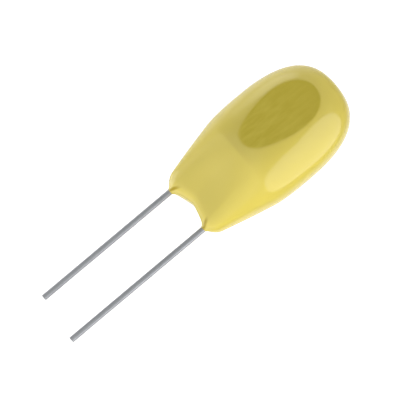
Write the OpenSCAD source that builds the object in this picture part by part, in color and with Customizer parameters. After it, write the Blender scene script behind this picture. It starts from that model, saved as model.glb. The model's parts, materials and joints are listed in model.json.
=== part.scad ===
// Radial-lead tantalum capacitor with a dipped epoxy coating, in millimetres.
// Body axes: x runs from the negative to the positive lead, y from the front to the back,
// z from the lead exits (z = 0) up the body to its round end. Every piece is built on these
// axes, then rest_pose() lays the whole part on the flat at its back, the front flat up.

/* [Leads] */
// Distance between the two lead centres
lead_pitch = 5.08; // [4.9:0.01:5.6]
// Diameter of the tinned lead wire
lead_d = 0.6; // [0.45:0.01:0.7]
// Free length of the negative lead below the coating
negative_lead_length = 16.3; // [8:0.1:30]
// Free length of the positive lead, the longer one
positive_lead_length = 17; // [8:0.1:30]
// Radius of each bend, measured on the wire's centre line
lead_bend_r = 0.8; // [0.6:0.05:1]
// Height up the anode's side that the negative lead reaches
negative_reach = 5.2; // [4.8:0.1:7]

/* [Coating] */
// Greatest diameter of the coated body
body_d = 10.8; // [10.4:0.01:12]
// Height of the widest level above the lead exits
widest_level = 10.6; // [10:0.05:11.5]
// Height of the round end above the widest level
round_end_h = 8.4; // [7.8:0.05:9.5]
// Fullness of the round end: 2 is an ellipse, more is squarer
round_end_fullness = 2.65; // [2.3:0.05:3]
// Height of the seam between the round end and the tapered skirt
seam_level = 6.93; // [6.2:0.01:8]
// Width of the skirt at its foot, across the leads, before its edge is rounded
foot_w = 7.06; // [6.8:0.02:8]
// Thickness of the skirt at its foot, from front to back, before its edge is rounded
foot_t = 2.6; // [2.4:0.05:5]
// Squareness of the foot's outline: 2 is an ellipse, more is squarer
foot_squareness = 2.8; // [2.4:0.1:4]
// Radius of the rounded edge round the foot
foot_edge_r = 1.3; // [0.8:0.05:1.4]
// Rise of the shallow arch between the lead exits
arch_rise = 0.72; // [0.4:0.02:0.9]
// Roundness of the arch: 1 has straight sides, more is rounder
arch_roundness = 1.2; // [1.1:0.05:2]
// Height at which the skirt's front no longer follows the arch
arch_fade_level = 3; // [2.4:0.1:4]

/* [Flat faces] */
// Distance from the body's axis to each flat, measured at the flat's middle
flat_offset = 4.7; // [4.6:0.01:5.2]
// Height of the flats' middle
flat_level = 12.8; // [12:0.1:13.5]
// Lean of the flats towards the axis at their upper end, in degrees
flat_tilt = 6.6; // [3:0.1:8]

/* [Anode] */
// Width of the sintered anode across its round sides
anode_d = 7; // [6:0.05:7.2]
// Thickness of the sintered anode across its pressed flat sides
anode_t = 5.8; // [5:0.05:6.2]
// Height of the sintered anode
anode_h = 8.2; // [7.6:0.05:8.6]
// Height of the anode's lower face above the lead exits
anode_level = 7.5; // [7.2:0.05:7.8]
// Chamfer on the anode's edges
anode_chamfer = 0.3; // [0.15:0.05:0.5]
// Diameter of the riser wire that grows out of the anode
riser_d = 0.5; // [0.3:0.05:0.7]
// Length of the riser wire below the anode
riser_length = 3.6; // [3.3:0.05:3.8]
// Depth to which the riser wire is sintered into the anode
riser_depth = 4; // [1:0.1:7]
// Length of the weld between the riser wire and the positive lead
weld_length = 1.8; // [1:0.1:2.2]
// Depth to which a lead bites into what it is welded or soldered to
lead_bite = 0.05; // [0.03:0.01:0.1]

/* [Layers] */
// Thickness of the manganese dioxide layer
dioxide_t = 0.08; // [0.05:0.01:0.12]
// Thickness of the graphite coat
graphite_t = 0.06; // [0.05:0.01:0.1]
// Thickness of the silver coat
silver_t = 0.08; // [0.05:0.01:0.12]
// Height of the anode's lower rim that graphite and silver leave bare
bare_rim = 0.6; // [0.5:0.05:1]
// Diameter of the insulating washer on the riser wire
washer_d = 2.4; // [1.6:0.1:3]
// Thickness of the insulating washer
washer_t = 0.4; // [0.2:0.05:0.6]
// Width of the solder round the negative lead
solder_w = 1.8; // [1.5:0.05:2]
// Thickness of the solder over the back of the negative lead
solder_cover = 0.15; // [0.1:0.05:0.25]
// Length of the solder along the negative lead
solder_length = 3.8; // [3:0.1:4]

/* [Hidden] */
$fn = 72;

// Steps of the lofted skin: points round each section, then rings in each stretch.
skin_sides = 64;
base_rings = 4;
edge_rings = 7;
skirt_rings = 9;
dome_rings = 21;

lead_r = lead_d / 2;
lead_x = lead_pitch / 2;
riser_r = riser_d / 2;
body_r = body_d / 2;

// Radii of the coated anode, from the sintered slug outwards.
dioxide_grow = dioxide_t;
graphite_grow = dioxide_grow + graphite_t;
silver_grow = graphite_grow + silver_t;
silver_r = anode_d / 2 + silver_grow;

// Where the leads run: beside the riser wire, and up the silvered side of the anode. Each
// starts to lean just inside the resin, so that its straight stretch is the free one.
riser_foot = anode_level - riser_length;
weld_x = riser_r + lead_r - lead_bite;
side_x = silver_r + lead_r - lead_bite;
bend_clearance = 0.1;
jog_foot = 0.1;
positive_jog_top = riser_foot - bend_clearance;
negative_jog_top = anode_level - bare_rim;
solder_level = anode_level + bare_rim + 0.2;

// A bend draws the wire's radius in by bend_neck, and laps into the wire by an angle.
bend_neck = 0.01;
bend_lap = 3;

// A jog is two equal bends with a straight run between them, tangent to both. Its centres
// are this far apart for a sideways travel and a height.
function jog_centres(travel, height) = norm([travel - 2 * lead_bend_r, height]);
function jog_straight(travel, height) =
    sqrt(pow(jog_centres(travel, height), 2) - pow(2 * lead_bend_r, 2));
function jog_lean(travel, height) =
    atan2(travel - 2 * lead_bend_r, height)
        + asin(2 * lead_bend_r / jog_centres(travel, height));

// Radius of the round end at height z.
function dome_r(z) =
    body_r * pow(1 - pow(min(1, abs(z - widest_level) / round_end_h), round_end_fullness),
                 1 / round_end_fullness);
seam_r = dome_r(seam_level);

// Half of the skirt's width or thickness at height z, from the half at its foot. It widens
// evenly to the seam, and the rounded edge meets both the underside and this slope smoothly.
function skirt_half(z, foot_half) =
    let (slope = atan((seam_r - foot_half) / seam_level))
    let (edge_top = foot_edge_r * (1 - sin(slope)))
    let (edge_x = foot_half + edge_top * tan(slope) - foot_edge_r * cos(slope))
    z < edge_top ?
        edge_x + sqrt(foot_edge_r * foot_edge_r - pow(foot_edge_r - z, 2)) :
        foot_half + z * tan(slope);

// A section is [height, half width, half thickness, squareness].
function skirt_section(z) =
    let (up = max(0, (z - foot_edge_r) / (seam_level - foot_edge_r)))
    [z,
     skirt_half(z, foot_w / 2),
     skirt_half(z, foot_t / 2),
     foot_squareness + (2 - foot_squareness) * up];
function base_section(share) =
    [0,
     skirt_half(0, foot_w / 2) * share,
     skirt_half(0, foot_t / 2) * share,
     foot_squareness];

// The dome's rings are evenly spaced by angle, which crowds them towards the top.
seam_turn = -asin(pow((widest_level - seam_level) / round_end_h, round_end_fullness / 2));
function dome_section(turn) =
    let (rise = pow(abs(sin(turn)), 2 / round_end_fullness) * sign(sin(turn)))
    let (z = widest_level + round_end_h * rise)
    [z, dome_r(z), dome_r(z), 2];

sections = concat(
    [for (k = [1 : base_rings]) base_section(k / base_rings)],
    [for (k = [1 : edge_rings]) skirt_section(foot_edge_r * (1 - cos(90 * k / edge_rings)))],
    [for (k = [1 : skirt_rings])
        skirt_section(foot_edge_r + (seam_level - foot_edge_r) * k / skirt_rings)],
    [for (k = [1 : dome_rings - 1])
        dome_section(seam_turn + (90 - seam_turn) * k / dome_rings)]
);

// Lift of the underside between the leads, which dies out up the skirt.
function arch_lift(x, z) =
    let (inward = max(0, 1 - pow(abs(x) / lead_x, arch_roundness)))
    let (up = min(1, max(0, (z - foot_edge_r) / (arch_fade_level - foot_edge_r))))
    arch_rise * inward * (1 - up * up * (3 - 2 * up));

// A point on a superellipse section, lifted by the arch.
function section_point(s, turn) =
    let (x = s[1] * sign(cos(turn)) * pow(abs(cos(turn)), 2 / s[3]))
    let (y = s[2] * sign(sin(turn)) * pow(abs(sin(turn)), 2 / s[3]))
    [x, y, s[0] + arch_lift(x, s[0])];

// Rest pose: the flats lean in towards the round end, so on its back flat the part lies with
// its leads raised by the same angle. along_ground() is how far a point then lies along Y.
rest_height = flat_offset * cos(flat_tilt) + flat_level * sin(flat_tilt);
function along_ground(y, z) = z * cos(flat_tilt) - y * sin(flat_tilt);
longest_lead = max(negative_lead_length, positive_lead_length);
far_end = max([for (s = sections) along_ground(-s[2], s[0])]);
near_end = along_ground(lead_r, -longest_lead);

module rest_pose() {
    translate([0, -(far_end + near_end) / 2, rest_height])
        rotate([-90 - flat_tilt, 0, 0])
            children();
}

// Coating's outer skin: one loft from the middle of the underside to the top.
module skin_loft() {
    rings = len(sections);
    ring_points = [
        for (s = sections)
            for (i = [0 : skin_sides - 1]) section_point(s, 360 * i / skin_sides)
    ];
    base_middle = rings * skin_sides;
    top_middle = base_middle + 1;
    points = concat(
        ring_points,
        [[0, 0, arch_lift(0, 0)], [0, 0, widest_level + round_end_h]]
    );
    last = (rings - 1) * skin_sides;
    base_faces = [
        for (i = [0 : skin_sides - 1]) [base_middle, i, (i + 1) % skin_sides]
    ];
    top_faces = [
        for (i = [0 : skin_sides - 1]) [top_middle, last + (i + 1) % skin_sides, last + i]
    ];
    wall_faces = [
        for (k = [0 : rings - 2])
            for (i = [0 : skin_sides - 1])
                let (j = (i + 1) % skin_sides)
                let (a = k * skin_sides)
                let (b = a + skin_sides)
                each [[a + i, b + i, b + j], [a + i, b + j, a + j]]
    ];
    polyhedron(points, concat(base_faces, wall_faces, top_faces));
}

// What lies beyond the flats at the front and the back.
module flat_cuts() {
    for (turn = [0, 180])
        rotate([0, 0, turn])
            translate([0, -flat_offset, flat_level])
                rotate([-flat_tilt, 0, 0])
                    translate([-body_d, -body_d, -body_d])
                        cube([2 * body_d, body_d, 2 * body_d]);
}

// The anode's chamfered cylinder with its two pressed flats, grown outwards by its layers.
module anode_form(grow) {
    r = anode_d / 2 + grow;
    low = anode_level - grow;
    high = anode_level + anode_h + grow;
    intersection() {
        rotate_extrude()
            polygon([
                [0, low],
                [r - anode_chamfer, low],
                [r, low + anode_chamfer],
                [r, high - anode_chamfer],
                [r - anode_chamfer, high],
                [0, high]
            ]);
        translate([-anode_d, -anode_t / 2 - grow, 0])
            cube([2 * anode_d, anode_t + 2 * grow, 2 * high]);
    }
}

// The part of a grown anode above its bare rim.
module dipped_form(grow) {
    intersection() {
        anode_form(grow);
        translate([0, 0, anode_level + bare_rim])
            cylinder(r = anode_d, h = anode_h + 1);
    }
}

// Riser wire, which is also the hole that it leaves in what grips it.
module riser_form() {
    translate([0, 0, riser_foot])
        cylinder(r = riser_r, h = riser_length + riser_depth);
}

// Insulating washer without its hole.
module washer_form() {
    translate([0, 0, anode_level - washer_t])
        cylinder(d = washer_d, h = washer_t);
}

// A wire of the given length, with its children at its upper end.
module wire_run(length) {
    cylinder(r = lead_r, h = length);
    translate([0, 0, length])
        children();
}

// A bend of the wire towards +x, with its children at its end. Bending necks the wire a
// little, and the necked stretch laps into the full wire before and after it.
module wire_bend(lean) {
    translate([lead_bend_r, 0, 0])
        rotate([90, 0, 0])
            rotate([0, 0, 180 - lean - bend_lap])
                rotate_extrude(angle = lean + 2 * bend_lap)
                    translate([lead_bend_r, 0])
                        circle(r = lead_r - bend_neck);
    translate([lead_bend_r * (1 - cos(lean)), 0, lead_bend_r * sin(lean)])
        rotate([0, lean, 0])
            children();
}

// A wire that comes up from below its origin, jogs towards +x and runs on upwards.
module jogged_wire(length_below, travel, height, length_above) {
    lean = jog_lean(travel, height);
    translate([0, 0, -length_below])
        wire_run(length_below)
            wire_bend(lean)
                wire_run(jog_straight(travel, height))
                    rotate([0, 0, 180])
                        wire_bend(lean)
                            wire_run(length_above);
}

// Positive lead's whole wire, in to the riser wire.
module positive_wire() {
    translate([lead_x, 0, jog_foot])
        rotate([0, 0, 180])
            jogged_wire(positive_lead_length + jog_foot, lead_x - weld_x,
                        positive_jog_top - jog_foot, weld_length + bend_clearance);
}

// Negative lead's whole wire, out to the anode's side.
module negative_wire() {
    translate([-lead_x, 0, jog_foot])
        rotate([0, 0, 180])
            jogged_wire(negative_lead_length + jog_foot, side_x - lead_x,
                        negative_jog_top - jog_foot, negative_reach + bare_rim);
}

// Solder round the negative lead, before the lead and the silver are taken out of it.
module solder_form() {
    intersection() {
        translate([-side_x, 0, solder_level])
            cylinder(d = solder_w, h = solder_length);
        translate([0, 0, solder_level])
            cylinder(r = side_x + lead_r + solder_cover, h = solder_length);
    }
}

// Everything that the resin flows round.
module buried_parts() {
    anode_form(dioxide_grow);
    dipped_form(silver_grow);
    washer_form();
    riser_form();
    solder_form();
    positive_wire();
    negative_wire();
}

module epoxy_coating() {
    color([0.83, 0.76, 0.38])
        rest_pose()
            difference() {
                skin_loft();
                flat_cuts();
                buried_parts();
            }
}

module positive_lead() {
    color([0.72, 0.73, 0.75])
        rest_pose()
            difference() {
                positive_wire();
                riser_form();
            }
}

module negative_lead() {
    color([0.72, 0.73, 0.75])
        rest_pose()
            difference() {
                negative_wire();
                dipped_form(silver_grow);
            }
}

module riser_wire() {
    color([0.45, 0.46, 0.5])
        rest_pose()
            riser_form();
}

module anode_slug() {
    color([0.33, 0.34, 0.36])
        rest_pose()
            difference() {
                anode_form(0);
                riser_form();
            }
}

module manganese_dioxide_layer() {
    color([0.13, 0.11, 0.11])
        rest_pose()
            difference() {
                anode_form(dioxide_grow);
                anode_form(0);
                washer_form();
            }
}

module graphite_coat() {
    color([0.2, 0.2, 0.22])
        rest_pose()
            difference() {
                dipped_form(graphite_grow);
                anode_form(dioxide_grow);
            }
}

module silver_coat() {
    color([0.78, 0.79, 0.8])
        rest_pose()
            difference() {
                dipped_form(silver_grow);
                anode_form(graphite_grow);
            }
}

module insulating_washer() {
    color([0.93, 0.94, 0.93])
        rest_pose()
            difference() {
                washer_form();
                riser_form();
            }
}

module cathode_solder() {
    color([0.62, 0.63, 0.64])
        rest_pose()
            difference() {
                solder_form();
                negative_wire();
                dipped_form(silver_grow);
            }
}

epoxy_coating();
positive_lead();
negative_lead();
riser_wire();
anode_slug();
manganese_dioxide_layer();
graphite_coat();
silver_coat();
insulating_washer();
cathode_solder();
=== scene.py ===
import bpy
import json
import math
from mathutils import Matrix, Vector


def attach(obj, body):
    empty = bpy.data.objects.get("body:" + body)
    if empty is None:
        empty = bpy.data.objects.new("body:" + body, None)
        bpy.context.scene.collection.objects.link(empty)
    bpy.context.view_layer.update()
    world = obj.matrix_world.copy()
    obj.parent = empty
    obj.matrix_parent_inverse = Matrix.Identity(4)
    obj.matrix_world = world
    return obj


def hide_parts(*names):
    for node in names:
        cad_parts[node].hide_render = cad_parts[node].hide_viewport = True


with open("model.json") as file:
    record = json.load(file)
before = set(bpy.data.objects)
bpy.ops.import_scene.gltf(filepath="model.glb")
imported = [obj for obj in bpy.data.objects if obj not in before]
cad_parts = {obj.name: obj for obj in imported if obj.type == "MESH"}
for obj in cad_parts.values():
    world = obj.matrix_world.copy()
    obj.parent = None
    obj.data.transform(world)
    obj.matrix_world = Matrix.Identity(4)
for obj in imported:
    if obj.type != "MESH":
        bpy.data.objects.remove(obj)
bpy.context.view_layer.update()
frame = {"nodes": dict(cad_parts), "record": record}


# ---- Pellet and riser wire ---------------------------------------------------------------
# Tantalum powder is pressed round the end of a drawn tantalum wire and sintered in vacuum, so
# the two are one porous body. The wire rises from it towards the leads and is welded there.

MM = 0.001


def add(tree, kind, inputs=(), **settings):
    """Adds a node, sets its properties, and links or sets its inputs, by place or by name."""
    node = tree.nodes.new(kind)
    for name, setting in settings.items():
        setattr(node, name, setting)
    pairs = inputs.items() if isinstance(inputs, dict) else enumerate(inputs)
    for key, given in pairs:
        if isinstance(given, bpy.types.Node):
            given = given.outputs[0]
        if isinstance(given, bpy.types.NodeSocket):
            tree.links.new(given, node.inputs[key])
        elif given is not None:
            node.inputs[key].default_value = given
    return node


def linear(colour):
    """A colour's sRGB hex as a linear colour with full alpha."""
    parts = [int(colour[k:k + 2], 16) / 255 for k in (1, 3, 5)]
    return [c / 12.92 if c <= 0.04045 else ((c + 0.055) / 1.055) ** 2.4 for c in parts] + [1.0]


def dress(names, material):
    """Gives CAD nodes a material in place of their plain one."""
    for name in names:
        frame["nodes"][name].data.materials.clear()
        frame["nodes"][name].data.materials.append(material)


# Sintered powder: a dull, dark blue-grey metal sponge with a fine open grain.
pellet = bpy.data.materials.new("sintered_tantalum_sponge")
pellet.use_nodes = True
tree = pellet.node_tree
shader = tree.nodes["Principled BSDF"]
shader.inputs["Metallic"].default_value = 0.6
shader.inputs["Roughness"].default_value = 0.75
spot = add(tree, "ShaderNodeTexCoord").outputs["Object"]
grain = add(tree, "ShaderNodeTexNoise", {"Vector": spot, "Scale": 1 / (0.12 * MM), "Detail": 4.0})
tone = add(tree, "ShaderNodeMix", {
    "Factor": grain.outputs["Fac"], "A": linear("#3c3e42"), "B": linear("#5d6066")},
    data_type="RGBA")
tree.links.new(tone.outputs["Result"], shader.inputs["Base Color"])
relief = add(tree, "ShaderNodeBump", {"Strength": 0.6, "Distance": 0.02 * MM,
                                      "Height": grain.outputs["Fac"]})
tree.links.new(relief.outputs["Normal"], shader.inputs["Normal"])
dress(["anode_slug"], pellet)

# Drawn wire: a satin blue-grey metal with fine lines along its length.
wire = bpy.data.materials.new("drawn_tantalum_wire_satin")
wire.use_nodes = True
tree = wire.node_tree
shader = tree.nodes["Principled BSDF"]
shader.inputs["Metallic"].default_value = 1.0
shader.inputs["Roughness"].default_value = 0.35
spot = add(tree, "ShaderNodeTexCoord").outputs["Object"]
drawn = add(tree, "ShaderNodeMapping", {
    "Vector": spot, "Scale": (1 / (0.05 * MM), 1 / (2 * MM), 1 / (0.05 * MM))})
lines = add(tree, "ShaderNodeTexNoise", {"Vector": drawn, "Scale": 1.0, "Detail": 3.0})
tone = add(tree, "ShaderNodeMix", {
    "Factor": lines.outputs["Fac"], "A": linear("#7b7f88"), "B": linear("#9a9ea6")},
    data_type="RGBA")
tree.links.new(tone.outputs["Result"], shader.inputs["Base Color"])
dress(["riser_wire"], wire)


# ---- Coats on the pellet -----------------------------------------------------------------
# The pellet is dipped again and again: in manganese nitrate that is baked to the solid
# electrolyte, in colloidal graphite and last in silver paint, each over the one before.

# Baked manganese dioxide: a black, matt crust with a coarse grain.
crust = bpy.data.materials.new("manganese_dioxide_crust")
crust.use_nodes = True
tree = crust.node_tree
shader = tree.nodes["Principled BSDF"]
shader.inputs["Roughness"].default_value = 0.85
spot = add(tree, "ShaderNodeTexCoord").outputs["Object"]
grain = add(tree, "ShaderNodeTexNoise", {"Vector": spot, "Scale": 1 / (0.2 * MM), "Detail": 4.0})
tone = add(tree, "ShaderNodeMix", {
    "Factor": grain.outputs["Fac"], "A": linear("#1c1a19"), "B": linear("#34302d")},
    data_type="RGBA")
tree.links.new(tone.outputs["Result"], shader.inputs["Base Color"])
relief = add(tree, "ShaderNodeBump", {"Strength": 0.7, "Distance": 0.03 * MM,
                                      "Height": grain.outputs["Fac"]})
tree.links.new(relief.outputs["Normal"], shader.inputs["Normal"])
dress(["manganese_dioxide_layer"], crust)

# Dried graphite: dark grey with the soft sheen of rubbed pencil lead.
carbon = bpy.data.materials.new("graphite_coat_sheen")
carbon.use_nodes = True
tree = carbon.node_tree
shader = tree.nodes["Principled BSDF"]
shader.inputs["Metallic"].default_value = 0.3
shader.inputs["Roughness"].default_value = 0.5
spot = add(tree, "ShaderNodeTexCoord").outputs["Object"]
rubbed = add(tree, "ShaderNodeTexNoise", {"Vector": spot, "Scale": 1 / (0.6 * MM), "Detail": 3.0})
tone = add(tree, "ShaderNodeMix", {
    "Factor": rubbed.outputs["Fac"], "A": linear("#2b2c2e"), "B": linear("#45474a")},
    data_type="RGBA")
tree.links.new(tone.outputs["Result"], shader.inputs["Base Color"])
dress(["graphite_coat"], carbon)

# Silver paint: flakes in a binder, a pale satin metal that dries a little uneven.
flake = bpy.data.materials.new("silver_paint_satin")
flake.use_nodes = True
tree = flake.node_tree
shader = tree.nodes["Principled BSDF"]
shader.inputs["Metallic"].default_value = 0.9
shader.inputs["Roughness"].default_value = 0.42
spot = add(tree, "ShaderNodeTexCoord").outputs["Object"]
dried = add(tree, "ShaderNodeTexNoise", {"Vector": spot, "Scale": 1 / (0.8 * MM), "Detail": 4.0})
tone = add(tree, "ShaderNodeMix", {
    "Factor": dried.outputs["Fac"], "A": linear("#b9b8b3"), "B": linear("#d6d5d0")},
    data_type="RGBA")
tree.links.new(tone.outputs["Result"], shader.inputs["Base Color"])
relief = add(tree, "ShaderNodeBump", {"Strength": 0.3, "Distance": 0.02 * MM,
                                      "Height": dried.outputs["Fac"]})
tree.links.new(relief.outputs["Normal"], shader.inputs["Normal"])
dress(["silver_coat"], flake)


# ---- Insulating washer -------------------------------------------------------------------
# A punched disc of fluoropolymer slides over the riser wire before the dips, to keep the
# electrolyte and the silver off the wire.

# Skived sheet: milky white, waxy and faintly banded where the blade passed.
washer = bpy.data.materials.new("fluoropolymer_sheet_waxy")
washer.use_nodes = True
tree = washer.node_tree
shader = tree.nodes["Principled BSDF"]
shader.inputs["Roughness"].default_value = 0.45
shader.inputs["IOR"].default_value = 1.38
spot = add(tree, "ShaderNodeTexCoord").outputs["Object"]
banded = add(tree, "ShaderNodeMapping", {
    "Vector": spot, "Scale": (1 / (0.2 * MM), 1 / (1.5 * MM), 1 / (1.5 * MM))})
bands = add(tree, "ShaderNodeTexNoise", {"Vector": banded, "Scale": 1.0, "Detail": 2.0})
tone = add(tree, "ShaderNodeMix", {
    "Factor": bands.outputs["Fac"], "A": linear("#dfe0dc"), "B": linear("#ecedea")},
    data_type="RGBA")
tree.links.new(tone.outputs["Result"], shader.inputs["Base Color"])
dress(["insulating_washer"], washer)


# ---- Leads and solder --------------------------------------------------------------------
# Copper-clad steel wire, hot tinned and cut to length, the positive one left longer. Each is
# set in the resin, jogs to the riser wire or to the anode's side and is welded or soldered.

# Hot tinning: a satin grey metal, here and there a little duller, with fine drawn lines.
tin = bpy.data.materials.new("hot_tinned_wire_satin")
tin.use_nodes = True
tree = tin.node_tree
shader = tree.nodes["Principled BSDF"]
shader.inputs["Metallic"].default_value = 1.0
shader.inputs["Roughness"].default_value = 0.42
spot = add(tree, "ShaderNodeTexCoord").outputs["Object"]
drawn = add(tree, "ShaderNodeMapping", {
    "Vector": spot, "Scale": (1 / (0.08 * MM), 1 / (2.5 * MM), 1 / (0.08 * MM))})
lines = add(tree, "ShaderNodeTexNoise", {"Vector": drawn, "Scale": 1.0, "Detail": 3.0})
dull = add(tree, "ShaderNodeTexNoise", {"Vector": spot, "Scale": 1 / (1.5 * MM), "Detail": 2.0})
tone = add(tree, "ShaderNodeMix", {
    "Factor": dull.outputs["Fac"], "A": linear("#8f9194"), "B": linear("#9fa1a4")},
    data_type="RGBA")
tree.links.new(tone.outputs["Result"], shader.inputs["Base Color"])
relief = add(tree, "ShaderNodeBump", {"Strength": 0.35, "Distance": 0.01 * MM,
                                      "Height": lines.outputs["Fac"]})
tree.links.new(relief.outputs["Normal"], shader.inputs["Normal"])
dress(["negative_lead", "positive_lead"], tin)

# Solder wets the wire and the silver and freezes bright, with a faint frosting of crystals.
solder = bpy.data.materials.new("soft_solder_bright")
solder.use_nodes = True
tree = solder.node_tree
shader = tree.nodes["Principled BSDF"]
shader.inputs["Metallic"].default_value = 1.0
shader.inputs["Roughness"].default_value = 0.25
spot = add(tree, "ShaderNodeTexCoord").outputs["Object"]
frost = add(tree, "ShaderNodeTexVoronoi", {"Vector": spot, "Scale": 1 / (0.35 * MM)})
tone = add(tree, "ShaderNodeMix", {
    "Factor": frost.outputs["Distance"], "A": linear("#c9cacc"), "B": linear("#aaabae")},
    data_type="RGBA")
tree.links.new(tone.outputs["Result"], shader.inputs["Base Color"])
dress(["cathode_solder"], solder)


# ---- Resin coating -----------------------------------------------------------------------
# The anode, already welded and soldered to its leads, hangs by them and is dipped in liquid
# epoxy. The resin runs to a round end, thins over the pellet's two pressed flats, tapers in
# a skirt towards the leads and cures glossy, so the skin is one closed lofted surface.

pins = {mount["name"]: mount for mount in frame["record"]["mounts"]}
exits = {}
for name, pin in pins.items():
    half_pin = Vector(pin["axis"]) * pin["dims"]["length_mm"] * MM / 2
    exits[name] = Vector(pin["pos_m"]) - half_pin

# Body axes: x to the positive lead, y to the back, z from the leads up to the round end.
body_up = -Vector(pins["positive_lead_pin"]["axis"]).normalized()
body_across = (exits["positive_lead_pin"] - exits["negative_lead_pin"]).normalized()
body_back = body_up.cross(body_across).normalized()
lead_pitch = (exits["positive_lead_pin"] - exits["negative_lead_pin"]).length / MM
lead_r = pins["positive_lead_pin"]["dims"]["r_mm"]
body = Matrix((body_across, body_back, body_up)).transposed().to_4x4()
body.translation = (exits["positive_lead_pin"] + exits["negative_lead_pin"]) / 2
body_mm = body @ Matrix.Scale(MM, 4)

skin_sizes = {
    "Body diameter": 10.8,
    "Widest level": 10.6,
    "Round end height": 8.4,
    "Round end fullness": 2.65,
    "Seam level": 6.93,
    "Foot width": 7.06,
    "Foot thickness": 2.6,
    "Foot squareness": 2.8,
    "Foot edge radius": 1.65,
    "Arch rise": 0.72,
    "Arch roundness": 1.2,
    "Arch fade level": 6.9,
    "Flat offset": 4.7,
    "Flat level": 12.8,
    "Flat slope": math.tan(math.radians(6.6)),
    "Flat edge softness": 0.03,
    "Lead position": lead_pitch / 2,
    "Lead radius": lead_r,
    "Collar length": 0.25,
    "Collar reach": 0.16,
    "Exit shade reaches up to": 0.95,
    "Negative shade line lean": 0.85,
    "Positive shade line lean": 0.25,
    "Unevenness": 0.02,
    "Unevenness size": 3.0,
}
seam_rise = (skin_sizes["Widest level"] - skin_sizes["Seam level"]) / skin_sizes["Round end height"]
seam_r = skin_sizes["Body diameter"] / 2 * (
    (1 - seam_rise ** skin_sizes["Round end fullness"]) ** (1 / skin_sizes["Round end fullness"])
)
skin_sizes["Seam radius"] = seam_r
UNDERSIDE_SHARE = 0.16  # of the sheet's rows close the underside, the rest climb the body

skin = bpy.data.node_groups.new("dipped_skin", "GeometryNodeTree")
skin_keys = {}
for name in skin_sizes:
    skin_keys[name] = skin.interface.new_socket(
        name, in_out="INPUT", socket_type="NodeSocketFloat"
    ).identifier
skin_keys["Resin"] = skin.interface.new_socket(
    "Resin", in_out="INPUT", socket_type="NodeSocketMaterial"
).identifier
skin.interface.new_socket("Skin", in_out="OUTPUT", socket_type="NodeSocketGeometry")
size = add(skin, "NodeGroupInput").outputs

# A grid wraps round the body along its X and climbs from the underside's middle along Y.
sheet = add(skin, "GeometryNodeMeshGrid", {
    "Size X": math.tau, "Size Y": 1.0, "Vertices X": 193, "Vertices Y": 181})
place = add(skin, "ShaderNodeSeparateXYZ", [add(skin, "GeometryNodeInputPosition")])
turn, along = place.outputs["X"], place.outputs["Y"]
under = add(skin, "ShaderNodeMapRange", [along, -0.5, UNDERSIDE_SHARE - 0.5, 0.0, 1.0])
climb = add(skin, "ShaderNodeMapRange", [along, UNDERSIDE_SHARE - 0.5, 0.5, 0.0, math.pi])
full_height = add(skin, "ShaderNodeMath", [size["Widest level"], size["Round end height"]])
half_height = add(skin, "ShaderNodeMath", [full_height, 0.5], operation="MULTIPLY")
climbed = add(skin, "ShaderNodeMath", [climb], operation="COSINE")
risen = add(skin, "ShaderNodeMath", [1.0, climbed], operation="SUBTRACT")
level = add(skin, "ShaderNodeMath", [risen, half_height], operation="MULTIPLY")

# Above the seam the radius follows the round end's superellipse.
seam = size["Seam level"]
dome_level = add(skin, "ShaderNodeMath", [level, seam], operation="MAXIMUM")
from_widest = add(skin, "ShaderNodeMath", [dome_level, size["Widest level"]], operation="SUBTRACT")
from_widest = add(skin, "ShaderNodeMath", [from_widest], operation="ABSOLUTE")
share = add(skin, "ShaderNodeMath", [from_widest, size["Round end height"]], operation="DIVIDE")
share = add(skin, "ShaderNodeMath", [share, size["Round end fullness"]], operation="POWER")
share = add(skin, "ShaderNodeMath", [1.0, share], operation="SUBTRACT")
share = add(skin, "ShaderNodeMath", [share, 0.0], operation="MAXIMUM")
fullness = add(skin, "ShaderNodeMath", [1.0, size["Round end fullness"]], operation="DIVIDE")
share = add(skin, "ShaderNodeMath", [share, fullness], operation="POWER")
body_r = add(skin, "ShaderNodeMath", [size["Body diameter"], 0.5], operation="MULTIPLY")
dome_r = add(skin, "ShaderNodeMath", [share, body_r], operation="MULTIPLY")
dome_gain = add(skin, "ShaderNodeMath", [dome_r, size["Seam radius"]], operation="SUBTRACT")

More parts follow.
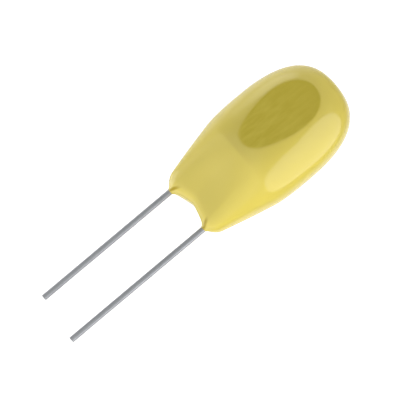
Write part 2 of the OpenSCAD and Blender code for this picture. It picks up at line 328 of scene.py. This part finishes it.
# Below it the skirt tapers to the foot, whose rounded edge runs smoothly into the slope.
edge_r = size["Foot edge radius"]
edge_r_sq = add(skin, "ShaderNodeMath", [edge_r, edge_r], operation="MULTIPLY")
edge_left = add(skin, "ShaderNodeMath", [edge_r, level], operation="SUBTRACT")
edge_left_sq = add(skin, "ShaderNodeMath", [edge_left, edge_left], operation="MULTIPLY")
edge_out = add(skin, "ShaderNodeMath", [edge_r_sq, edge_left_sq], operation="SUBTRACT")
edge_out = add(skin, "ShaderNodeMath", [edge_out, 0.0], operation="MAXIMUM")
edge_out = add(skin, "ShaderNodeMath", [edge_out], operation="SQRT")
halves = {}
for name in ("Foot width", "Foot thickness"):
    foot_half = add(skin, "ShaderNodeMath", [size[name], 0.5], operation="MULTIPLY")
    widening = add(skin, "ShaderNodeMath", [size["Seam radius"], foot_half], operation="SUBTRACT")
    widening = add(skin, "ShaderNodeMath", [widening, seam], operation="DIVIDE")
    slope = add(skin, "ShaderNodeMath", [widening], operation="ARCTANGENT")
    lean = add(skin, "ShaderNodeMath", [slope], operation="SINE")
    lean = add(skin, "ShaderNodeMath", [1.0, lean], operation="SUBTRACT")
    edge_top = add(skin, "ShaderNodeMath", [edge_r, lean], operation="MULTIPLY")
    steep = add(skin, "ShaderNodeMath", [slope], operation="COSINE")
    steep = add(skin, "ShaderNodeMath", [steep, edge_r], operation="MULTIPLY")
    edge_x = add(skin, "ShaderNodeMath", [edge_top, widening, foot_half], operation="MULTIPLY_ADD")
    edge_x = add(skin, "ShaderNodeMath", [edge_x, steep], operation="SUBTRACT")
    rounded = add(skin, "ShaderNodeMath", [edge_x, edge_out])
    below_seam = add(skin, "ShaderNodeMath", [level, seam], operation="MINIMUM")
    sloped = add(skin, "ShaderNodeMath", [below_seam, widening, foot_half],
                 operation="MULTIPLY_ADD")
    on_edge = add(skin, "ShaderNodeMath", [level, edge_top], operation="LESS_THAN")
    half = add(skin, "ShaderNodeMix", {"Factor": on_edge, "A": sloped, "B": rounded})
    half = add(skin, "ShaderNodeMath", [half, dome_gain])
    halves[name] = add(skin, "ShaderNodeMath", [half, under], operation="MULTIPLY")
squareness = add(skin, "ShaderNodeMapRange", [level, edge_r, seam, size["Foot squareness"], 2.0])
bend = add(skin, "ShaderNodeMath", [2.0, squareness], operation="DIVIDE")
sides = {}
for name, part in (("Foot width", "COSINE"), ("Foot thickness", "SINE")):
    way = add(skin, "ShaderNodeMath", [turn], operation=part)
    sign = add(skin, "ShaderNodeMath", [way], operation="SIGN")
    reach = add(skin, "ShaderNodeMath", [way], operation="ABSOLUTE")
    reach = add(skin, "ShaderNodeMath", [reach, bend], operation="POWER")
    reach = add(skin, "ShaderNodeMath", [reach, sign], operation="MULTIPLY")
    sides[name] = add(skin, "ShaderNodeMath", [reach, halves[name]], operation="MULTIPLY")
side_x, side_y = sides["Foot width"], sides["Foot thickness"]

# The underside arches up between the leads and the arch dies out up the skirt.
away = add(skin, "ShaderNodeMath", [side_x], operation="ABSOLUTE")
inward = add(skin, "ShaderNodeMath", [away, size["Lead position"]], operation="DIVIDE")
inward = add(skin, "ShaderNodeMath", [inward, size["Arch roundness"]], operation="POWER")
inward = add(skin, "ShaderNodeMath", [1.0, inward], operation="SUBTRACT")
inward = add(skin, "ShaderNodeMath", [inward, 0.0], operation="MAXIMUM")
fade = add(skin, "ShaderNodeMapRange", [level, edge_r, size["Arch fade level"], 1.0, 0.0],
           interpolation_type="SMOOTHSTEP")
lift = add(skin, "ShaderNodeMath", [size["Arch rise"], fade], operation="MULTIPLY")
level = add(skin, "ShaderNodeMath", [inward, lift, level], operation="MULTIPLY_ADD")

# A short collar of resin runs down each lead where the wire leaves the underside.
beside = add(skin, "ShaderNodeMath", [away, size["Lead position"]], operation="SUBTRACT")
from_lead = add(skin, "ShaderNodeCombineXYZ", [beside, side_y, 0.0])
from_lead = add(skin, "ShaderNodeVectorMath", [from_lead], operation="LENGTH").outputs["Value"]
from_wire = add(skin, "ShaderNodeMath", [from_lead, size["Lead radius"]], operation="SUBTRACT")
from_wire = add(skin, "ShaderNodeMath", [from_wire, 0.0], operation="MAXIMUM")
from_wire = add(skin, "ShaderNodeMath", [from_wire, size["Collar reach"]], operation="DIVIDE")
cling = add(skin, "ShaderNodeMath", [math.e, from_wire], operation="POWER")
collar = add(skin, "ShaderNodeMath", [size["Collar length"], cling], operation="DIVIDE")
collar = add(skin, "ShaderNodeMath", [collar, fade], operation="MULTIPLY")
level = add(skin, "ShaderNodeMath", [level, collar], operation="SUBTRACT")

# Both flats lean in towards the round end and cut the round side off with a soft edge.
above = add(skin, "ShaderNodeMath", [level, size["Flat level"]], operation="SUBTRACT")
lean_in = add(skin, "ShaderNodeMath", [above, size["Flat slope"]], operation="MULTIPLY")
flat_y = add(skin, "ShaderNodeMath", [size["Flat offset"], lean_in], operation="SUBTRACT")
front_y = add(skin, "ShaderNodeMath", [flat_y, -1.0], operation="MULTIPLY")
soft = size["Flat edge softness"]
pressed = add(skin, "ShaderNodeMath", [side_y, flat_y, soft], operation="SMOOTH_MIN")
pressed = add(skin, "ShaderNodeMath", [pressed, front_y, soft], operation="SMOOTH_MAX")
flat_cut_depth = add(skin, "ShaderNodeMath", [side_y, pressed], operation="SUBTRACT")
flat_cut_depth = add(skin, "ShaderNodeMath", [flat_cut_depth], operation="ABSOLUTE")

# Just above each exit a dark line of painted shade leans inwards, where the wire leaves the resin.
positive_side = add(skin, "ShaderNodeMath", [side_x, 0.0], operation="GREATER_THAN")
shade_line_lean = add(skin, "ShaderNodeMix", {
    "Factor": positive_side, "A": size["Negative shade line lean"], "B": size["Positive shade line lean"]})
painted_exit_shade = add(skin, "ShaderNodeMath", [level, shade_line_lean, beside], operation="MULTIPLY_ADD")
painted_exit_shade = add(skin, "ShaderNodeMath", [painted_exit_shade], operation="ABSOLUTE")
painted_exit_shade = add(skin, "ShaderNodeMapRange", [painted_exit_shade, 0.07, 0.25, 1.0, 0.0],
                interpolation_type="SMOOTHSTEP")
shade_line_fade = add(skin, "ShaderNodeMath", [size["Exit shade reaches up to"], 0.4], operation="MULTIPLY")
shade_line_fade = add(skin, "ShaderNodeMapRange", [level, shade_line_fade, size["Exit shade reaches up to"], 1.0, 0.0],
             interpolation_type="SMOOTHSTEP")
painted_exit_shade = add(skin, "ShaderNodeMath", [painted_exit_shade, shade_line_fade], operation="MULTIPLY")

shape = add(skin, "ShaderNodeCombineXYZ", [side_x, pressed, level])
# Masks for painted shade in the resin's colour: how deep the flats cut in, and the dark line over
# each wire's exit.
marked = add(skin, "GeometryNodeStoreNamedAttribute",
             {"Geometry": sheet, "Name": "painted_flat_shade", "Value": flat_cut_depth},
             data_type="FLOAT", domain="POINT")
marked = add(skin, "GeometryNodeStoreNamedAttribute",
             {"Geometry": marked, "Name": "painted_exit_shade", "Value": painted_exit_shade},
             data_type="FLOAT", domain="POINT")
wrapped = add(skin, "GeometryNodeSetPosition", {"Geometry": marked, "Position": shape})
closed = add(skin, "GeometryNodeMergeByDistance", {"Geometry": wrapped, "Distance": 0.001})

# Cured resin is never quite even, so the skin swells and sinks a little.
swell = add(skin, "ShaderNodeTexNoise", {
    "Vector": add(skin, "GeometryNodeInputPosition"),
    "Scale": add(skin, "ShaderNodeMath", [1.0, size["Unevenness size"]], operation="DIVIDE"),
    "Detail": 1.0})
swell = add(skin, "ShaderNodeMapRange", [swell, 0.0, 1.0, -1.0, 1.0])
swell = add(skin, "ShaderNodeMath", [swell, size["Unevenness"]], operation="MULTIPLY")
swell = add(skin, "ShaderNodeVectorMath", {
    0: add(skin, "GeometryNodeInputNormal"), "Scale": swell}, operation="SCALE")
uneven = add(skin, "GeometryNodeSetPosition", {"Geometry": closed, "Offset": swell})
whole = add(skin, "GeometryNodeRealizeInstances", [uneven])
coloured = add(skin, "GeometryNodeSetMaterial", {"Geometry": whole, "Material": size["Resin"]})
add(skin, "NodeGroupOutput", [coloured])


# Epoxy, pigmented olive gold and cured in air: opaque, smooth and glossy. Over the pellet's flats
# the colour carries painted shade, darker towards the top of the flat, with faint streaks along the
# body.
resin = bpy.data.materials.new("gold_dipped_epoxy_gloss")
resin.use_nodes = True
tree = resin.node_tree
shader = tree.nodes["Principled BSDF"]
shader.inputs["Roughness"].default_value = 0.12
shader.inputs["IOR"].default_value = 1.52
spot = add(tree, "ShaderNodeTexCoord").outputs["Object"]
clouds = add(tree, "ShaderNodeTexNoise", {"Vector": spot, "Scale": 1 / (4 * MM), "Detail": 2.0})
thick_colour = add(tree, "ShaderNodeMix", {
    "Factor": clouds.outputs["Fac"], "A": linear("#d9c652"), "B": linear("#dbc856")},
    data_type="RGBA").outputs["Result"]
drawn = add(tree, "ShaderNodeMapping", {
    "Vector": spot, "Scale": (1 / (0.45 * MM), 1 / (4 * MM), 1 / (0.45 * MM))})
streaks = add(tree, "ShaderNodeTexNoise", {"Vector": drawn, "Scale": 1.0, "Detail": 3.0})
streaks = add(tree, "ShaderNodeMapRange", [streaks.outputs["Fac"], 0.35, 0.7, 0.0, 1.0])
along_body = add(tree, "ShaderNodeSeparateXYZ", [spot]).outputs["Y"]
# Painted shade: the streaks fade out towards the top of the flat, which leaves the colour darker
# there.
flat_top_level, top_shade_fade_over = 17.5, 5.0
flat_top = (body_mm @ Vector((0, 0, flat_top_level))).y
painted_shade_toward_top = add(tree, "ShaderNodeMapRange", [
    along_body, flat_top - top_shade_fade_over * MM, flat_top, 1.0, 0.15])
streaks = add(tree, "ShaderNodeMath", [streaks, painted_shade_toward_top], operation="MULTIPLY")
# Painted shade on the flats: a darker olive, lifted a little along the streaks.
painted_flat_shade_colour = add(tree, "ShaderNodeMix", {
    "Factor": streaks, "A": linear("#d1be48"), "B": linear("#dbc953")},
    data_type="RGBA").outputs["Result"]
flat_shade_mask = add(tree, "ShaderNodeAttribute", attribute_name="painted_flat_shade").outputs["Fac"]
flat_shade_mask = add(tree, "ShaderNodeMapRange", [flat_shade_mask, 0.0, 0.06, 0.0, 1.0],
           interpolation_type="SMOOTHSTEP")
with_flat_shade = add(tree, "ShaderNodeMix", {"Factor": flat_shade_mask, "A": thick_colour, "B": painted_flat_shade_colour},
               data_type="RGBA").outputs["Result"]
# Painted shade: a dark olive line over each wire's exit.
exit_shade_mask = add(tree, "ShaderNodeAttribute", attribute_name="painted_exit_shade").outputs["Fac"]
final = add(tree, "ShaderNodeMix", {"Factor": exit_shade_mask, "A": with_flat_shade, "B": linear("#b1991c")},
            data_type="RGBA")
tree.links.new(final.outputs["Result"], shader.inputs["Base Color"])
peel = add(tree, "ShaderNodeTexNoise", {"Vector": spot, "Scale": 1 / (0.8 * MM), "Detail": 2.0})
relief = add(tree, "ShaderNodeBump", {"Strength": 0.15, "Distance": 0.01 * MM,
                                      "Height": peel.outputs["Fac"]})
tree.links.new(relief.outputs["Normal"], shader.inputs["Normal"])

seed = bpy.data.objects.new("coating_seed", bpy.data.meshes.new("coating_seed"))
bpy.context.scene.collection.objects.link(seed)
loft = seed.modifiers.new("dipped_skin", "NODES")
loft.node_group = skin
for name, value in skin_sizes.items():
    loft[skin_keys[name]] = value
loft[skin_keys["Resin"]] = resin
finished = seed.evaluated_get(bpy.context.evaluated_depsgraph_get())
mesh = bpy.data.meshes.new_from_object(finished)
bpy.data.objects.remove(seed)
mesh.name = "resin_coating"
mesh.transform(body_mm)
mesh.polygons.foreach_set("use_smooth", [True] * len(mesh.polygons))
coating = bpy.data.objects.new("resin_coating", mesh)
bpy.context.scene.collection.objects.link(coating)
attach(coating, "root")
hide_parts("epoxy_coating")


# ---- Studio floor, lamps and backdrop ----------------------------------------------------
# The part lies on a matt white board in a white surround. Two softboxes show in its gloss,
# and four fills that the gloss doesn't mirror bring the colours to a plain level.



def flat_board(name, length, width):
    """A mesh of one level rectangle, its middle at the origin."""
    end, side = length / 2, width / 2
    mesh = bpy.data.meshes.new(name)
    mesh.from_pydata([(-end, -side, 0), (end, -side, 0), (end, side, 0), (-end, side, 0)],
                     [], [(0, 1, 2, 3)])
    return mesh


floor_mesh = flat_board("floor", 6.0, 6.0)
floor = bpy.data.objects.new("floor", floor_mesh)
bpy.context.scene.collection.objects.link(floor)
floor.visible_glossy = False  # so that the gloss mirrors the even surround here, not a horizon
board = bpy.data.materials.new("matt_white_board")
board.use_nodes = True
tree = board.node_tree
tree.nodes.clear()
seen = add(tree, "ShaderNodeLightPath").outputs
shown = add(tree, "ShaderNodeMath", [seen["Is Camera Ray"], seen["Is Glossy Ray"]],
            operation="MAXIMUM")
shown = add(tree, "ShaderNodeMath", [shown, seen["Is Transmission Ray"]], operation="MAXIMUM")
lifted = add(tree, "ShaderNodeMath", [shown, 0.65], operation="MULTIPLY")
matt = add(tree, "ShaderNodeBsdfDiffuse", {"Color": linear("#f0f0f0")})
lift_light = add(tree, "ShaderNodeEmission", {"Color": linear("#ffffff"), "Strength": lifted})
both = add(tree, "ShaderNodeAddShader", [matt, lift_light])
add(tree, "ShaderNodeOutputMaterial", [both])
floor_mesh.materials.append(board)

world = bpy.data.worlds.new("white_surround")
bpy.context.scene.world = world
world.use_nodes = True
tree = world.node_tree
tree.nodes.clear()
seen = add(tree, "ShaderNodeLightPath").outputs
shown = add(tree, "ShaderNodeMath", [seen["Is Camera Ray"], seen["Is Transmission Ray"]],
            operation="MAXIMUM")
looked = add(tree, "ShaderNodeTexCoord").outputs["Generated"]

# What the gloss mirrors: pale walls that grow brighter over the leads and past the left side,
# dim below the key softbox, and the lit board again straight down.
near_wall_way, far_wall_way = (0.0, -0.87, 0.5), (-0.927, 0.375, 0.0)
near_wall = add(tree, "ShaderNodeVectorMath", [looked, near_wall_way],
                operation="DOT_PRODUCT").outputs["Value"]
looked_apart = add(tree, "ShaderNodeSeparateXYZ", [looked]).outputs
height = looked_apart["Z"]
low_left = add(tree, "ShaderNodeMapRange", [looked_apart["X"], -0.9, -0.3, 1.2, 0.35])
far_end = add(tree, "ShaderNodeMapRange", [height, -0.6, 0.1, low_left, 0.8])
board_glow = add(tree, "ShaderNodeMapRange", [height, -0.75, -1.0, 0.0, 0.7],
                 interpolation_type="SMOOTHSTEP")
far_end = add(tree, "ShaderNodeMath", [far_end, board_glow])
near_wall = add(tree, "ShaderNodeMapRange", [near_wall, 0.2, 0.5, far_end, 1.4],
                interpolation_type="SMOOTHSTEP")
far_wall = add(tree, "ShaderNodeVectorMath", [looked, far_wall_way],
               operation="DOT_PRODUCT").outputs["Value"]
far_wall = add(tree, "ShaderNodeMapRange", [far_wall, 0.93, 0.985, 0.0, 1.0],
               interpolation_type="SMOOTHSTEP")
walls = add(tree, "ShaderNodeMath", [near_wall, far_wall])
room = add(tree, "ShaderNodeBackground", {"Color": linear("#f2f4f6"), "Strength": 0.22})
wall = add(tree, "ShaderNodeBackground", {"Color": linear("#ffffff"), "Strength": walls})
white = add(tree, "ShaderNodeBackground", {"Color": linear("#ffffff"), "Strength": 1.0})
chosen = add(tree, "ShaderNodeMixShader", [seen["Is Glossy Ray"], room, wall])
chosen = add(tree, "ShaderNodeMixShader", [shown, chosen, white])
add(tree, "ShaderNodeOutputWorld", [chosen])


def way_to(azimuth, elevation):
    """The direction from the part at an azimuth, counted from +X towards +Y, and elevation."""
    turned, raised = math.radians(azimuth), math.radians(elevation)
    return Vector((math.cos(turned) * math.cos(raised), math.sin(turned) * math.cos(raised),
                   math.sin(raised)))


def softbox(name, shape, azimuth, elevation, width, height, radiance, mirrored):
    """A lamp that faces the part, its place and its size seen from the part in degrees."""
    distance = 200 * MM
    lamp = bpy.data.lights.new(name, "AREA")
    lamp.shape = shape
    lamp.size = 2 * distance * math.tan(math.radians(width / 2))
    lamp.size_y = 2 * distance * math.tan(math.radians(height / 2))
    lamp.energy = radiance * math.pi * lamp.size * lamp.size_y
    if shape == "ELLIPSE":
        lamp.energy *= math.pi / 4
    holder = bpy.data.objects.new(name, lamp)
    bpy.context.scene.collection.objects.link(holder)
    out = way_to(azimuth, elevation)
    holder.location = out * distance
    holder.rotation_euler = out.to_track_quat("Z", "Y").to_euler()
    holder.visible_camera = False
    holder.visible_glossy = mirrored


softbox("key_softbox", "ELLIPSE", 22, -4, 65, 73, 1.8, True)
softbox("left_softbox", "ELLIPSE", -141, -8, 36, 50, 1.4, True)
softbox("right_fill", "RECTANGLE", 20, 15, 90, 30, 1.8, False)
softbox("tips_fill", "RECTANGLE", -75, 23, 70, 45, 2.4, False)
softbox("left_fill", "RECTANGLE", -140, 20, 60, 40, 0.85, False)
softbox("far_fill", "RECTANGLE", 145, 14, 60, 28, 3.05, False)

# A black card hangs over the round end, out of the frame, so that the flat mirrors no lamp.
card_mesh = flat_board("black_card", 200 * MM, 64 * MM)
card_distance = 180 * MM
out = way_to(118, 58)
facing = out.to_track_quat("Z", "Y").to_matrix().to_4x4()
card_mesh.transform(Matrix.Translation(out * card_distance) @ facing)
card = bpy.data.objects.new("black_card", card_mesh)
bpy.context.scene.collection.objects.link(card)
card.visible_camera = card.visible_diffuse = card.visible_shadow = False
felt = bpy.data.materials.new("black_felt")
felt.use_nodes = True
felt.node_tree.nodes["Principled BSDF"].inputs["Base Color"].default_value = linear("#181818")
felt.node_tree.nodes["Principled BSDF"].inputs["Roughness"].default_value = 1.0
card_mesh.materials.append(felt)


# ---- Camera ------------------------------------------------------------------------------
# A long lens looks down on the part, turned a little round the body's axis and nodded up
# along it, with the leads running to the lower left of the frame.

TURN, NOD, ROLL = math.radians(16.3), math.radians(5.5), math.radians(40.0)
PIXELS_PER_MM = 10.23
FRAME_PIXELS = 400
CAMERA_DISTANCE = 1.0
front = -body_back
level_right = math.cos(TURN) * body_across - math.sin(TURN) * front
towards = math.sin(TURN) * body_across + math.cos(TURN) * front
backward = math.cos(NOD) * towards - math.sin(NOD) * body_up
level_up = backward.cross(level_right)
right = math.sin(ROLL) * level_right + math.cos(ROLL) * level_up
upward = -math.cos(ROLL) * level_right + math.sin(ROLL) * level_up
AIM_LEVEL, AIM_ASIDE = 1.54, 0.05
aim = body_mm @ Vector((0, 0, AIM_LEVEL)) + level_right * AIM_ASIDE * MM

eye = bpy.data.cameras.new("camera")
eye.sensor_width = 36.0
eye.lens = eye.sensor_width * CAMERA_DISTANCE / (FRAME_PIXELS / PIXELS_PER_MM * MM)
eye.clip_start, eye.clip_end = 0.1, 10.0
camera = bpy.data.objects.new("camera", eye)
bpy.context.scene.collection.objects.link(camera)
camera.matrix_world = Matrix.Translation(aim + backward * CAMERA_DISTANCE) @ Matrix(
    (right, upward, backward)).transposed().to_4x4()
bpy.context.scene.camera = camera
bpy.context.scene.view_settings.view_transform = "Standard"
